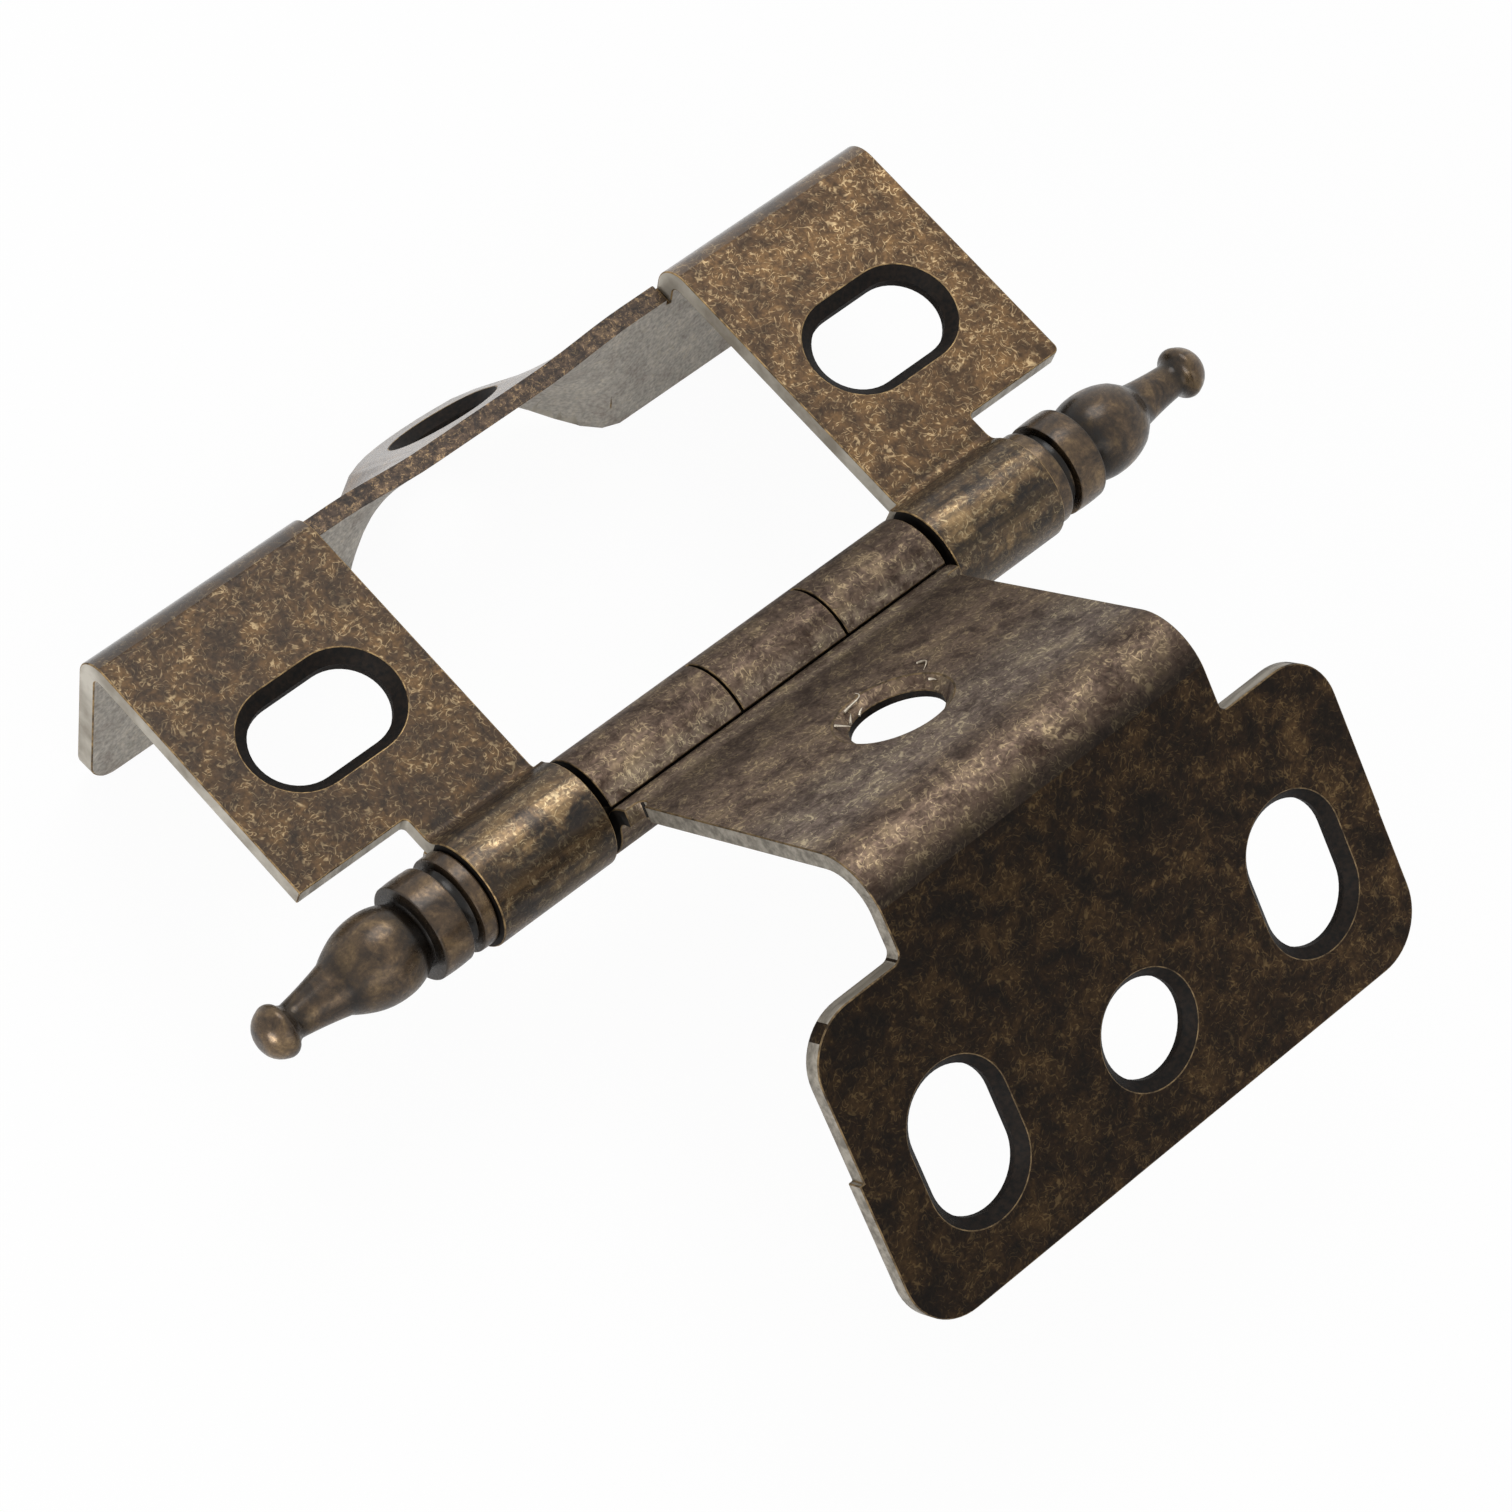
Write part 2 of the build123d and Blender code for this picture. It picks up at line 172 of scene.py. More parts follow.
# Frame leaf: one steel stamping, 1.15 mm thick, with two rolled knuckles. It is brass plated,
# blackened, then tumbled, which rubs the brass bare in fine curled hairlines and on every edge.
# Its mesh is the CAD one with joined faces and a small round on each sheared edge.
mm = 0.001
same_place = 0.001 * mm
same_way = math.radians(0.6)
sharp_bend = math.radians(32)
edge_round = 0.07 * mm
round_steps = 2
sunk_rim_share = 0.5
# finishes that are painted shade (sunk walls, knuckle ends) or painted sheen (insides of the bends): an
# edge between two of them is not rounded
painted_shade_and_sheen = {"sunk", "inside", "gap"}

# a pattern's values run from 0 to 1, nearly all of them between low and high
noise_low = 0.3
noise_middle = 0.5
noise_high = 0.7
# size in mm, width as a share of the pattern's values, and shift in mm of each hairline layer
hairline_layers = ((1.2, 0.018, 0.0), (0.8, 0.026, 3.1), (1.0, 0.02, 7.7), (0.65, 0.028, 12.9))
fully_bare_share = 0.4
break_size_share = 0.5
break_values = (0.5, 0.62)


def bare_hairlines(tree, place, curl_mm):
    # curled hairlines, 0.05 to 0.1 mm wide, where the tumbling stones rubbed the brass bare.
    # Each layer follows the middle value of one pattern, and a finer one breaks it up.
    hairs = None
    for size, width, shift in hairline_layers:
        size *= curl_mm
        moved = add_node(
            tree,
            "ShaderNodeMapping",
            inputs={"Vector": place, "Location": (shift * mm, shift * mm, -shift * mm)},
        )[0]
        curls = add_node(
            tree,
            "ShaderNodeTexNoise",
            inputs={"Vector": moved, "Scale": 1 / (size * mm), "Detail": 1.0, "Distortion": 1.0},
        )
        off = add_node(
            tree, "ShaderNodeMath", {"operation": "SUBTRACT"}, {0: curls["Fac"], 1: noise_middle}
        )
        off = add_node(tree, "ShaderNodeMath", {"operation": "ABSOLUTE"}, {0: off[0]})
        line = add_node(
            tree,
            "ShaderNodeMapRange",
            inputs={
                "Value": off[0],
                "From Min": width * fully_bare_share,
                "From Max": width,
                "To Min": 1.0,
                "To Max": 0.0,
            },
        )
        gaps = add_node(
            tree,
            "ShaderNodeTexNoise",
            inputs={"Vector": moved, "Scale": 1 / (break_size_share * size * mm), "Detail": 1.0},
        )
        kept = add_node(
            tree,
            "ShaderNodeMapRange",
            inputs={"Value": gaps["Fac"], "From Min": break_values[0], "From Max": break_values[1]},
        )
        line = add_node(tree, "ShaderNodeMath", {"operation": "MULTIPLY"}, {0: line[0], 1: kept[0]})[0]
        if hairs is None:
            hairs = line
        else:
            hairs = add_node(tree, "ShaderNodeMath", {"operation": "MAXIMUM"}, {0: hairs, 1: line})[0]
    return hairs


def painted_light_and_tints_in_bands(tree, colour, place, patches, bands, mirrored):
    # the colour tinted along a direction by each band, painted light and shade among them: (direction,
    # how ragged the patches make it in mm, stops), where a stop is a place in mm and a tint, one share
    # or a share per colour
    for direction, ragged_mm, stops in bands:
        first, last = stops[0][0], stops[-1][0]
        along = add_node(
            tree, "ShaderNodeVectorMath", {"operation": "DOT_PRODUCT"}, {0: place, 1: direction}
        )["Value"]
        if mirrored:
            along = add_node(tree, "ShaderNodeMath", {"operation": "ABSOLUTE"}, {0: along})[0]
        ragged = add_node(
            tree,
            "ShaderNodeMath",
            {"operation": "MULTIPLY_ADD"},
            {0: patches, 1: ragged_mm * mm, 2: along},
        )[0]
        half = ragged_mm / 2
        along = add_node(
            tree,
            "ShaderNodeMapRange",
            inputs={"Value": ragged, "From Min": (first + half) * mm, "From Max": (last + half) * mm},
        )[0]
        shade = tree.nodes.new("ShaderNodeValToRGB")
        tree.links.new(along, shade.inputs["Fac"])
        while len(shade.color_ramp.elements) < len(stops):
            shade.color_ramp.elements.new(0.5)
        for element, (at, tint) in zip(shade.color_ramp.elements, stops):
            element.position = (at - first) / (last - first)
            element.color = (*tint, 1) if isinstance(tint, tuple) else (tint, tint, tint, 1)
        colour = add_node(
            tree,
            "ShaderNodeMix",
            {"data_type": "RGBA", "blend_type": "MULTIPLY"},
            {0: 1.0, 6: colour, 7: shade.outputs["Color"]},
        )[2]
    return colour


patina_values = (0.36, 0.5, 0.66)
grain_mm = 0.22
grain_tint = (0.72, 1.22)
rolled_streak_mm = 0.3
rolled_stretch = (0.06, 1.0, 1.0)
rolled_values = (0.35, 0.65)
crowd_values = (0.38, 0.6)
fewest_hairs = 0.15
metal_values = (0.4, 0.68)
metal_shares = (0.45, 0.9)
gloss_change = 0.08
wave_mm = 3.0
wave_deep = 0.05 * mm
wave_strength = 0.5
pit_deep = 0.012 * mm


def aged_brass(
    name,
    colours,
    hair_share,
    rough=0.46,
    patch_mm=1.7,
    curl_mm=1.0,
    gloss=(0.2, 0.2, 0.3),
    drawn=0.0,
    pits=0.35,
    bands=(),
    mirrored=False,
):
    # blackened brass plate, tumbled: brown mottling, finer grain and bare curled hairlines.
    # colours are the dark, middle and light patina, then the hairlines. gloss is the skin's
    # specular level, then its lacquer's weight and roughness. drawn is how much the streaks
    # left by the sheet's rolling, which run along the barrel, darken it.
    dark, middle, light, hairline = [linear(colour) for colour in colours]
    material = bpy.data.materials.new(name)
    material.use_nodes = True
    tree = material.node_tree
    shader = tree.nodes["Principled BSDF"]
    shader.inputs["Specular IOR Level"].default_value = gloss[0]
    shader.inputs["Coat Weight"].default_value = gloss[1]
    shader.inputs["Coat Roughness"].default_value = gloss[2]
    place = add_node(tree, "ShaderNodeTexCoord")["Object"]

    # mottled patina, patches of 1 to 2 mm with a ragged edge
    patches = add_node(
        tree,
        "ShaderNodeTexNoise",
        inputs={
            "Vector": place,
            "Scale": 1 / (patch_mm * mm),
            "Detail": 6.0,
            "Roughness": 0.68,
            "Distortion": 0.5,
        },
    )["Fac"]
    patina = tree.nodes.new("ShaderNodeValToRGB")
    tree.links.new(patches, patina.inputs["Fac"])
    patina.color_ramp.elements.new(0.5)
    for element, value, tint in zip(patina.color_ramp.elements, patina_values, (dark, middle, light)):
        element.position = value
        element.color = tint

    # fine grain of the plate, about 0.1 mm, drawn coarser than it is so that it shows
    grain = add_node(
        tree, "ShaderNodeTexNoise", inputs={"Vector": place, "Scale": 1 / (grain_mm * mm), "Detail": 2.0}
    )["Fac"]
    grain_shade = add_node(
        tree,
        "ShaderNodeMapRange",
        inputs={
            "Value": grain,
            "From Min": noise_low,
            "From Max": noise_high,
            "To Min": grain_tint[0],
            "To Max": grain_tint[1],
        },
    )[0]
    colour = add_node(
        tree,
        "ShaderNodeMix",
        {"data_type": "RGBA", "blend_type": "MULTIPLY"},
        {0: 1.0, 6: patina.outputs["Color"], 7: grain_shade},
    )[2]

    if drawn:
        along = add_node(
            tree, "ShaderNodeMapping", inputs={"Vector": place, "Scale": rolled_stretch}
        )[0]
        streaks = add_node(
            tree,
            "ShaderNodeTexNoise",
            inputs={"Vector": along, "Scale": 1 / (rolled_streak_mm * mm), "Detail": 3.0},
        )
        streak_shade = add_node(
            tree,
            "ShaderNodeMapRange",
            inputs={
                "Value": streaks["Fac"],
                "From Min": rolled_values[0],
                "From Max": rolled_values[1],
                "To Min": 1 - drawn,
            },
        )[0]
        colour = add_node(
            tree,
            "ShaderNodeMix",
            {"data_type": "RGBA", "blend_type": "MULTIPLY"},
            {0: 1.0, 6: colour, 7: streak_shade},
        )[2]

    # the hairlines crowd on the lighter patches and thin out on the dark ones
    crowd = add_node(
        tree,
        "ShaderNodeMapRange",
        inputs={
            "Value": patches,
            "From Min": crowd_values[0],
            "From Max": crowd_values[1],
            "To Min": fewest_hairs,
        },
    )[0]
    hairs = bare_hairlines(tree, place, curl_mm)
    hairs = add_node(tree, "ShaderNodeMath", {"operation": "MULTIPLY"}, {0: hairs, 1: crowd})[0]
    hairs = add_node(tree, "ShaderNodeMath", {"operation": "MULTIPLY"}, {0: hairs, 1: hair_share})[0]
    colour = add_node(tree, "ShaderNodeMix", {"data_type": "RGBA"}, {0: hairs, 6: colour, 7: hairline})[2]
    # the bands: tints, among them painted highlights, sheen and shade
    colour = painted_light_and_tints_in_bands(tree, colour, place, patches, bands, mirrored)
    tree.links.new(colour, shader.inputs["Base Color"])

    # bare brass is metal, the blackened skin over it only partly
    bare = add_node(
        tree,
        "ShaderNodeMapRange",
        inputs={
            "Value": patches,
            "From Min": metal_values[0],
            "From Max": metal_values[1],
            "To Min": metal_shares[0],
            "To Max": metal_shares[1],
        },
    )[0]
    bare = add_node(tree, "ShaderNodeMath", {"operation": "MAXIMUM"}, {0: bare, 1: hairs})[0]
    tree.links.new(bare, shader.inputs["Metallic"])
    dull = add_node(
        tree,
        "ShaderNodeMapRange",
        inputs={
            "Value": grain,
            "From Min": noise_low,
            "From Max": noise_high,
            "To Min": rough + gloss_change,
            "To Max": rough - gloss_change,
        },
    )[0]
    tree.links.new(dull, shader.inputs["Roughness"])

    # the sheet's own faint waves, then the grain's pits on them
    waves = add_node(
        tree, "ShaderNodeTexNoise", inputs={"Vector": place, "Scale": 1 / (wave_mm * mm), "Detail": 1.0}
    )
    wavy = add_node(
        tree,
        "ShaderNodeBump",
        inputs={"Strength": wave_strength, "Distance": wave_deep, "Height": waves["Fac"]},
    )[0]
    pitted = add_node(
        tree,
        "ShaderNodeBump",
        inputs={"Strength": pits, "Distance": pit_deep, "Height": grain, "Normal": wavy},
    )[0]
    tree.links.new(pitted, shader.inputs["Normal"])
    return material


cut_values = (0.36, 0.64)
cut_streak_mm = 0.5
cut_metal = 0.7
score_deep = 0.02 * mm


def sheared_steel(name, colours, stretch, rough, score=0.4):
    # a cut or covered face: thin plate over the grey steel, with fine streaks that run in the
    # direction where stretch is small, and that score the face. With near black colours it also
    # serves as painted shade on sunk walls and knuckle ends
    material = bpy.data.materials.new(name)
    material.use_nodes = True
    tree = material.node_tree
    shader = tree.nodes["Principled BSDF"]
    place = add_node(tree, "ShaderNodeTexCoord")["Object"]
    stretched = add_node(tree, "ShaderNodeMapping", inputs={"Vector": place, "Scale": stretch})[0]
    streaks = add_node(
        tree,
        "ShaderNodeTexNoise",
        inputs={
            "Vector": stretched,
            "Scale": 1 / (cut_streak_mm * mm),
            "Detail": 4.0,
            "Roughness": 0.6,
        },
    )["Fac"]
    shade = tree.nodes.new("ShaderNodeValToRGB")
    tree.links.new(streaks, shade.inputs["Fac"])
    for element, value, colour in zip(shade.color_ramp.elements, cut_values, colours):
        element.position = value
        element.color = linear(colour)
    tree.links.new(shade.outputs["Color"], shader.inputs["Base Color"])
    shader.inputs["Metallic"].default_value = cut_metal
    shader.inputs["Roughness"].default_value = rough
    scored = add_node(
        tree, "ShaderNodeBump", inputs={"Strength": score, "Distance": score_deep, "Height": streaks}
    )
    tree.links.new(scored[0], shader.inputs["Normal"])
    return material


def rounded_copy(node, finishes, finish_of, edge_finish, change_at, change_way):
    # the CAD node's mesh with its triangles joined, each face given its finish by a rule, and
    # each sheared edge rounded and rubbed bright. A face that crosses the plane through
    # change_at, square to change_way, takes a finish on each side.
    work = bmesh.new()
    work.from_mesh(node.data)
    bmesh.ops.remove_doubles(work, verts=work.verts, dist=same_place)
    bmesh.ops.dissolve_limit(
        work, angle_limit=same_way, verts=work.verts, edges=work.edges, use_dissolve_boundaries=False
    )
    bmesh.ops.bisect_plane(
        work,
        geom=work.verts[:] + work.edges[:] + work.faces[:],
        plane_co=change_at,
        plane_no=change_way,
    )
    work.normal_update()
    names = list(finishes)
    for face in work.faces:
        face.smooth = True
        face.material_index = names.index(finish_of(face.calc_center_median() / mm, face.normal))
    rounded = work.edges.layers.float.new("bevel_weight_edge")
    for edge in work.edges:
        if edge.is_manifold and edge.calc_face_angle() > sharp_bend:
            met = {names[face.material_index] for face in edge.link_faces}
            if not (met <= painted_shade_and_sheen or "strip" in met):
                edge[rounded] = sunk_rim_share if "sunk" in met else 1
            edge.smooth = edge[rounded] > 0
    mesh = bpy.data.meshes.new(node.name + "_finished")
    work.to_mesh(mesh)
    work.free()
    for finish in finishes.values():
        mesh.materials.append(finish)
    piece = bpy.data.objects.new(node.name + "_finished", mesh)
    bpy.context.scene.collection.objects.link(piece)
    rounding = piece.modifiers.new("sheared edges", "BEVEL")
    rounding.width = edge_round
    rounding.segments = round_steps
    rounding.limit_method = "WEIGHT"
    rounding.harden_normals = True
    rounding.use_clamp_overlap = False
    rounding.material = names.index(edge_finish)
    flat = piece.modifiers.new("flat faces shade flat", "WEIGHTED_NORMAL")
    flat.weight = 100
    flat.keep_sharp = True
    return piece


tab_colours = ("#3f2c18", "#5a432b", "#775b3b", "#cbb085")
# painted shade in the valley before the knuckles; darker past the bend, and darker on the left tab
from_barrel = (
    (0, 1, 0),
    0.3,
    [(0, 0.9), (3.2, 0.9), (3.6, 0.35), (4.1, 0.9), (19, 1.0), (21.2, 0.8), (24, 0.7)],
)
along_tabs = ((1, 0, 0), 2.0, [(-28, 0.5), (-12, 0.58), (12, 0.88), (28, 1.0)])
# brighter in the middle, where the tongue lies: a painted sheen; darker on the left
along_back = (
    (1, 0, 0),
    2.0,
    [(-28, 0.5), (-15, 0.6), (-8, 1.7), (8, 1.7), (15, 0.9), (28, 1.0)],
)
# painted reflections: bands of highlight and dark that follow one another round the barrel,
# measured across the way they look
knuckle_reflection_bands = (
    (0, 0.966, 0.258),
    3.0,
    [(-3.2, 1.0), (-2.3, 0.35), (-1.4, 0.9), (-0.5, 0.22), (0.5, 1.0), (1.7, 0.95), (2.5, 0.8), (3.2, 0.7)],
)
even = (1.0, 1.0, 1.0)
across_sheet = (1.0, 0.15, 0.15)

frame_finishes = {
    # the tabs' tumbled top: warm brown with many short hairlines
    "tabs": aged_brass(
        "tumbled antique brass, tabs",
        tab_colours,
        hair_share=0.85,
        bands=[from_barrel, along_tabs],
    ),
    # the flange's back has more lacquer left: seen along it, it mirrors the white sweep. Its middle,
    # where the tongue lies, is brightened further with a painted sheen
    "back": aged_brass(
        "glossy antique brass, back of the flange",
        tab_colours,
        hair_share=0.6,
        rough=0.26,
        gloss=(0.5, 1.0, 0.12),
        pits=0.05,
        bands=[from_barrel, along_back],
    ),
    # the outer knuckles are rubbed hardest, so the brass shows in long glossy streaks; their light and
    # dark bands round the barrel are painted reflections
    "knuckles": aged_brass(
        "rubbed antique brass, knuckles",
        ("#33261b", "#6a543b", "#937955", "#cfb88e"),
        hair_share=0.55,
        rough=0.32,
        gloss=(0.3, 0.3, 0.25),
        drawn=0.6,
        bands=[knuckle_reflection_bands],
    ),
    # edges cut by the die: pale and satin, scored across the sheet
    "sheared": sheared_steel(
        "sheared edge, thinly plated", ("#8f877a", "#c4beb2"), across_sheet, 0.45
    ),
    # the flange was torn across its thickness: nearly black, with broken brassy crests
    "strip": aged_brass(
        "torn shear of the flange",
        ("#20160f", "#3f3126", "#5e4d3c", "#a98d66"),
        hair_share=0.55,
        rough=0.4,
        patch_mm=0.6,
        curl_mm=0.6,
        drawn=0.3,
    ),
    # inside the bends and under the sheet: a painted grey sheen, standing for the white sweep
    # mirrored at a grazing angle, over a satin plate
    "inside": aged_brass(
        "painted grey sheen on the inside of the sheet",
        ("#a0988f", "#b3aea6", "#c6c0b6", "#d2c3a4"),
        hair_share=0.25,
        rough=0.5,
        pits=0.15,
    ),
    # painted shade on sunk walls: near black and matt, where the holes and slots fall in shade
    "sunk": sheared_steel(
        "painted shade on the wall of a sunk slot", ("#050403", "#1d150f"), (1.6, 1.6, 1.6), 0.65, 0.2
    ),
    # painted shade also on the ends that face another knuckle, where the narrow gaps fall in shade,
    # which makes the gaps read as dark lines
    "gap": sheared_steel("painted shade on the end of a knuckle", ("#060403", "#1a130d"), even, 0.6, 0.2),
    # rims rubbed to the brass: a fine warm line round each face
    "rubbed": sheared_steel("brass rubbed bare along an edge", ("#4a3a27", "#a1865c"), even, 0.42),
}

# where the finishes meet, in mm
close_by = 0.05
frame_roll = 3.13
roll_slack = 0.02
knuckle_front = 2.6
near_edge_from = 4.0
near_edge_to = 6.0
frame_slot = Vector((20.13, 11.6))
frame_slot_reach = Vector((5.0, 3.35))
frame_slot_floor = -0.2
flange_front = 18.0
strip_top = -0.95
strip_half = 13.3
relief_half = 14.3
relief_foot = strip_top - 0.4
tongue_hole = Vector((0, 23.2, -5.35))
tongue_hole_reach = 3.6
tongue_lean = math.radians(28.2)
tongue_out = Vector((0, math.cos(tongue_lean), math.sin(tongue_lean)))
# how much of a face's normal lies along a direction: a cut edge or an end looks mostly along
# it, the wall or flare of a hole looks less along the hole's axis than the flat face does
on_edge = 0.7
on_end = 0.9
tongue_flat = 0.93
slot_flat = 0.95
looks_back = 0.3
looks_near = -0.8
looks_inwards = -0.2
looks_down = -0.5


def frame_finish(centre, normal):
    # the finish of a face, from its middle in mm and its normal
    side = abs(centre.x)
    flange = centre.y > flange_front
    if abs(normal.x) > on_end and centre.y < knuckle_front:
        return "gap"
    if abs(normal.x) > on_edge and flange and side < relief_half and centre.z > relief_foot:
        return "gap"
    from_hole = (centre - tongue_hole).cross(tongue_out).length
    if from_hole < tongue_hole_reach and abs(normal.dot(tongue_out)) < tongue_flat:
        return "sunk"
    from_slot = Vector((abs(side - frame_slot.x), abs(centre.y - frame_slot.y)))
    if from_slot.x < frame_slot_reach.x and from_slot.y < frame_slot_reach.y:
        if centre.z > frame_slot_floor and abs(normal.z) < slot_flat:
            return "sunk"
    if abs(centre.z - strip_top) < close_by and side < strip_half and normal.z > on_end:
        return "strip"
    if flange and normal.y > looks_back:
        return "back"
    if normal.y < looks_near and near_edge_from < centre.y < near_edge_to:
        return "sheared"
    if abs(normal.x) > on_edge:
        return "sheared"
    if math.hypot(centre.y, centre.z) < frame_roll + roll_slack:
        return "knuckles"
    if normal.z < looks_down or flange and normal.y < looks_inwards:
        return "inside"
    return "tabs"


frame_leaf = rounded_copy(
    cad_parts["frame_leaf"],
    frame_finishes,
    frame_finish,
    "rubbed",
    Vector((0, knuckle_front * mm, 0)),
    Vector((0, 1, 0)),
)
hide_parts("frame_leaf")
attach(frame_leaf, "frame_side")

# Door leaf: the second steel stamping, 1 mm thick, rolled into the middle knuckle and finished
# in the same way. Its first face is smooth, with a painted grey sheen, the wide bend carries a
# painted highlight, and the second face is dark, partly its dark skin and partly painted shade.
open_angle = math.radians(47.3)
door_out = Vector((0, -math.cos(open_angle), math.sin(open_angle)))
door_up = Vector((0, math.sin(open_angle), math.cos(open_angle)))
# runs on from the knuckle over the first face, round the bend and down the second face
down_leaf = tuple(door_out - door_up)

# painted highlight: a grey strip along the seam, where the shoulder catches the light, then a
# dark strip of painted shade past it
by_seam = (
    down_leaf,
    1.0,
    [
        (-3, 0.78),
        (0.6, 0.78),
        (1.6, (1.3, 1.42, 1.5)),
        (3.3, (1.3, 1.42, 1.5)),
        (4.3, 0.52),
        (6.0, 0.64),
        (8.5, 1.0),
    ],
)
# a greyish patch of painted sheen before the bend, then the bend itself: a painted highlight on
# top and painted shade, near black, at its foot
by_bend = (
    down_leaf,
    1.5,
    [
        (11.5, 1.0),
        (14.0, (0.98, 1.06, 1.16)),
        (15.8, (1.25, 1.37, 1.52)),
        (17.6, (1.18, 1.28, 1.42)),
        (18.6, 0.85),
        (21.0, 1.0),
        (22.8, 0.8),
        (24.2, 0.2),
        (25.5, 0.11),
    ],
)
along_face = ((1, 0, 0), 3.0, [(-28, 1.0), (-8, 1.0), (8, 0.8), (28, 0.5)])
along_second_face = ((1, 0, 0), 3.0, [(-28, 0.5), (0, 0.58), (10, 0.8), (28, 1.0)])
down_second_face = (down_leaf, 2.5, [(22, 1.0), (28, 0.8), (34, 1.0)])

door_finishes = {
    # brown over a smooth sheet, with fainter hairlines than the tabs and drawn streaks
    "faces": aged_brass(
        "tumbled antique brass, door leaf",
        ("#4c3b30", "#725f51", "#8e7a62", "#c4ad88"),
        hair_share=0.75,
        gloss=(0.12, 0.06, 0.4),
        drawn=0.3,
        bands=[by_seam, by_bend, along_face],
    ),
    # the second face is dark, partly its black skin and partly painted shade, with brass showing in
    # cloudy patches
    "ear": aged_brass(
        "blackened antique brass, second face",
        ("#1a120b", "#2e2116", "#4f3c27", "#957b53"),
        hair_share=0.4,
        patch_mm=1.8,
        gloss=(0.1, 0.05, 0.4),
        bands=[along_second_face, down_second_face],
    ),
    # darker cut edges than the frame leaf's, streaked along the barrel
    "sheared": sheared_steel(
        "sheared edge of the door leaf", ("#6f695f", "#a19a8e"), (0.15, 1.0, 1.0), 0.45
    ),
    "inside": frame_finishes["inside"],
    "sunk": frame_finishes["sunk"],
    "gap": frame_finishes["gap"],
    # rims rubbed less than the frame leaf's: a dull brown line
    "rubbed": sheared_steel("door leaf rubbed along an edge", ("#33281b", "#7d6849"), even, 0.45),
}

# where the finishes meet: out from the barrel and up from the first face, in mm
shoulder_front = 4.3
roll_behind = 4.0
face_hole_from = 8.0
face_hole_to = 16.0
face_hole_half = 5.0
face_hole_floor = -1.0
face_hole_flat = 0.99
flare_looks_up = 0.3
underside_looks_up = -0.9
ear_lean = math.radians(2.2)
ear_out = door_out * math.cos(ear_lean) + door_up * math.sin(ear_lean)
ear_up = door_up * math.cos(ear_lean) - door_out * math.sin(ear_lean)
ear_behind = 15.0
ear_top = -2.2
ear_inside_top = -2.0
ear_inside_looks_out = -0.6
ear_edge_top = -4.0
ear_holes_top = -8.0
ear_holes_foot = -22.0
ear_holes_half = 17.0
ear_hole_flat = 0.95


def door_finish(centre, normal):
    # the finish of a face, from its middle in mm and its normal
    side, out, up = abs(centre.x), centre.dot(door_out), centre.dot(door_up)
    looks_up = normal.dot(door_up)
    looks_out = normal.dot(ear_out)
    if abs(normal.x) > on_edge and out < shoulder_front:
        return "gap"
    if face_hole_from < out < face_hole_to and side < face_hole_half and up > face_hole_floor:
        if looks_up < underside_looks_up:
            return "inside"
        if looks_up < face_hole_flat:
            return "faces" if looks_up > flare_looks_up else "sunk"
    if ear_holes_foot < up < ear_holes_top and side < ear_holes_half:
        if abs(looks_out) < ear_hole_flat:
            return "sunk"
    if abs(normal.x) > on_edge or abs(normal.dot(ear_up)) > on_end and up < ear_edge_top:
        return "sheared"
    if looks_up < looks_down and out > roll_behind:
        return "inside"
    if looks_out < ear_inside_looks_out and up < ear_inside_top:
        return "inside"
    return "ear" if up < ear_top and out > ear_behind else "faces"


door_leaf = rounded_copy(
    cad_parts["door_leaf"],
    door_finishes,
    door_finish,
    "rubbed",
    door_out * shoulder_front * mm,
    door_out,
)
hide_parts("door_leaf")
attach(door_leaf, "door_side")

# Burrs: small bright curls of steel that the countersink left standing round the first face's
# hole, still joined to the sheet. Each is a thin wire, thickest where it is joined.
curl_r = 0.09 * mm
curl_tip_share = 0.2
plate_top = 0.59
# along the barrel, out from it and up from the first face, in mm
hole_curls = (
    ((-1.05, 9.25, -0.1), (-0.5, 9.15, -0.05), (0.1, 9.2, 0.02), (0.4, 8.95, 0.1), (0.3, 8.7, 0.12)),
    ((3.75, 9.85, 0.0), (3.95, 10.3, 0.14), (3.85, 10.6, 0.12), (3.35, 10.8, 0.0)),
    ((-2.25, 9.9, -0.05), (-2.1, 10.3, -0.08), (-1.9, 10.75, -0.15)),
    ((-1.5, 10.15, -0.35), (-1.25, 9.9, -0.22), (-0.95, 9.65, -0.15)),
    ((-0.6, 9.75, -0.5), (-0.35, 9.6, -0.35), (-0.15, 9.6, -0.3)),
    ((2.85, 11.75, -0.1), (2.95, 11.95, -0.08), (2.95, 12.2, -0.12)),
)

curls = bpy.data.curves.new("hole_curls", "CURVE")
curls.dimensions = "3D"
curls.bevel_depth = curl_r
curls.bevel_resolution = 2
curls.resolution_u = 6
curls.use_fill_caps = True
for points in hole_curls:
    wire = curls.splines.new("NURBS")
    wire.points.add(len(points) - 1)
    for index, (point, (across, out, lift)) in enumerate(zip(wire.points, points)):
        place = Vector((across, 0, 0)) + door_out * out + door_up * (plate_top + lift)
        point.co = (*(place * mm), 1)
        point.radius = 1 - (1 - curl_tip_share) * index / (len(points) - 1)
    wire.order_u = 3
    wire.use_endpoint_u = True
drawn_curls = bpy.data.objects.new("hole_curls", curls)
mesh = bpy.data.meshes.new_from_object(drawn_curls)
bpy.data.objects.remove(drawn_curls)
mesh.materials.clear()
# fresh steel that was never blackened: pale, with a sharp glint
mesh.materials.append(sheared_steel("freshly cut curl, bright", ("#8f8372", "#d9cfbd"), even, 0.35))
for face in mesh.polygons:
    face.use_smooth = True
burrs = bpy.data.objects.new("screw_hole_burrs", mesh)
bpy.context.scene.collection.objects.link(burrs)
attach(burrs, "door_side")

# Pin: plain drawn steel rod, 3.9 mm thick, pushed through the three knuckles and gripped by the
# middle one. It is seen only as a dark line in the gaps between them, with streaks along it.
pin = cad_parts["hinge_pin"]
pin.data.materials.clear()
pin.data.materials.append(
    sheared_steel("drawn steel pin, blackened", ("#2a2521", "#4a433b"), (0.1, 1.0, 1.0), 0.45)
)

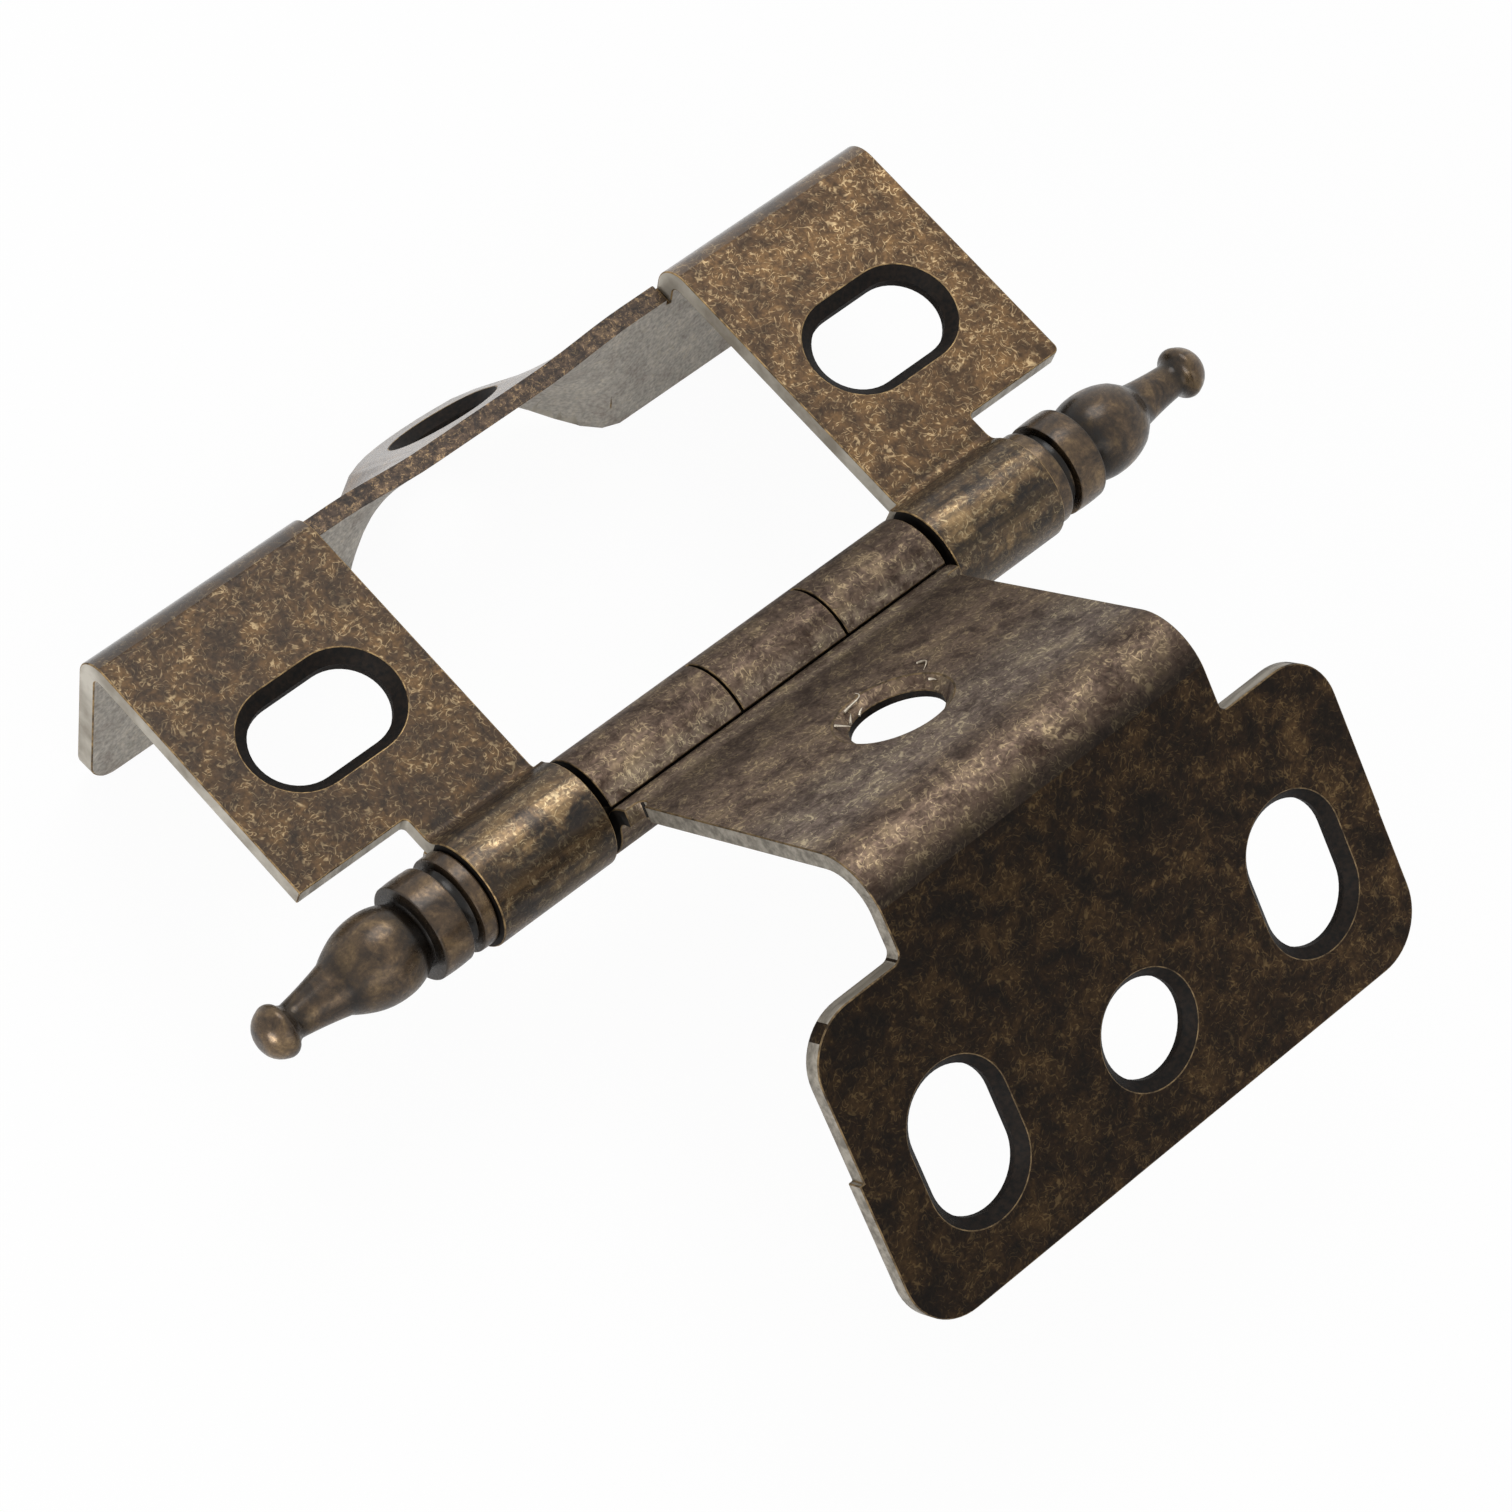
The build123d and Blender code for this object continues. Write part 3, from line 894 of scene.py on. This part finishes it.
# Finials: turned brass, blackened and rubbed, pressed on the pin's thin ends. Each has a ring,
# a deep groove, a collar, a bulb, a slim neck and a flared button at the tip. The two necks
# were turned a little unequal.
finial_start = 20.5
ring_end = 21.4
collar_start = 22.1
collar_end = 24.0
bulb_start = 24.3
bulb_end = 28.1
neck_start = 29.0
flare_start = 31.95
tip = 34.0
bore_end = 26.3
spigot_r = 1.2
ring_r = 2.8
groove_r = 2.3
collar_r = 2.78
waist_r = 2.0
bulb_r = 2.5
left_neck_r = 1.56
right_neck_r = 1.34
slim_r = 1.0
flare_long = 0.5
flare_end_r = 1.38
button_long = 0.95
button_top_r = 1.46
turned_round = 0.13
step_slant = 0.05
# how far each stretch stands out from a straight line, or in where it is taken away
round_bow = 0.06
ring_bow = 0.01
groove_bow = 0.05
collar_bow = 0.03
waist_bow = 0.03
bulb_bow = 0.13
bulb_forward = 0.2
shoulder_bow = 0.02
neck_bow = 0.04
flare_bow = 0.06
button_bow = 0.09
tip_bow = 0.33
turning_steps = 96


def bow(points, end, rise, steps):
    # carries the outline on to end along an arc that stands out by rise at its middle
    start = points[-1]
    run = Vector(end) - start
    side = Vector((-run.y, run.x)).normalized()
    for step in range(1, steps + 1):
        share = step / steps
        points.append(start + run * share + side * (4 * rise * share * (1 - share)))


def finial_outline(neck_r):
    # half of a lengthwise cut, from the spigot's bore round the outside to the bore's end
    points = [Vector((finial_start, spigot_r)), Vector((finial_start, ring_r - turned_round))]
    bow(points, (finial_start + turned_round, ring_r), round_bow, 4)
    bow(points, (ring_end - turned_round, ring_r), ring_bow, 2)
    bow(points, (ring_end, ring_r - turned_round), round_bow, 4)
    bow(points, (ring_end + step_slant, groove_r), 0, 1)
    bow(points, (collar_start - step_slant, groove_r), -groove_bow, 4)
    bow(points, (collar_start, collar_r - turned_round), 0, 1)
    bow(points, (collar_start + turned_round, collar_r), round_bow, 4)
    bow(points, (collar_end - turned_round, collar_r), collar_bow, 4)
    bow(points, (collar_end, collar_r - turned_round), round_bow, 4)
    bow(points, (collar_end + step_slant, waist_r), 0, 1)
    bow(points, (bulb_start, waist_r), -waist_bow, 2)
    bow(points, ((bulb_start + bulb_end) / 2 - bulb_forward, bulb_r), bulb_bow, 8)
    bow(points, (bulb_end, waist_r + step_slant), bulb_bow, 8)
    bow(points, (neck_start, neck_r), shoulder_bow, 3)
    bow(points, (flare_start, slim_r), -neck_bow, 8)
    bow(points, (flare_start + flare_long, flare_end_r), -flare_bow, 5)
    bow(points, (tip - button_long, button_top_r), button_bow, 6)
    bow(points, (tip, 0), tip_bow, 8)
    points += [Vector((bore_end, 0)), Vector((bore_end, spigot_r))]
    return points


# painted shade: black in the groove, behind the collar and round the button's foot, where the
# hollows fall in shade; rubbed in between
along_finial = (
    (1, 0, 0),
    0.5,
    [
        (20.5, 1.0),
        (21.3, 0.85),
        (21.5, 0.06),
        (22.0, 0.06),
        (22.2, 0.9),
        (23.8, 1.0),
        (24.05, 0.06),
        (24.7, 0.12),
        (25.6, 0.6),
        (26.4, 1.0),
        (28.3, 0.6),
        (28.9, 0.3),
        (29.6, 0.9),
        (31.0, 0.8),
        (32.0, 0.15),
        (32.6, 0.6),
        (33.2, 1.0),
        (34.0, 1.0),
    ],
)
# smooth turned brass: darker and glossier than the sheet, with hardly any hairlines
finial_brass = aged_brass(
    "turned antique brass, finials",
    ("#2e2318", "#544331", "#7e684b", "#a88c64"),
    hair_share=0.15,
    rough=0.32,
    patch_mm=1.8,
    gloss=(0.3, 0.35, 0.22),
    bands=[along_finial],
    mirrored=True,
)
for side, name, neck_r in ((-1, "finial_left", left_neck_r), (1, "finial_right", right_neck_r)):
    work = bmesh.new()
    ring = [work.verts.new((side * p.x * mm, 0, p.y * mm)) for p in finial_outline(neck_r)]
    loop = [work.edges.new((a, b)) for a, b in zip(ring, ring[1:] + ring[:1])]
    bmesh.ops.spin(
        work,
        geom=ring + loop,
        cent=(0, 0, 0),
        axis=(1, 0, 0),
        angle=math.tau,
        steps=turning_steps,
        use_merge=True,
    )
    bmesh.ops.remove_doubles(work, verts=work.verts, dist=same_place)
    bmesh.ops.recalc_face_normals(work, faces=work.faces)
    for face in work.faces:
        face.smooth = True
    mesh = bpy.data.meshes.new(name + "_turned")
    work.to_mesh(mesh)
    work.free()
    mesh.set_sharp_from_angle(angle=sharp_bend)
    mesh.materials.append(finial_brass)
    finial = bpy.data.objects.new(name + "_turned", mesh)
    bpy.context.scene.collection.objects.link(finial)
    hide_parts(name)
    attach(finial, "door_side")
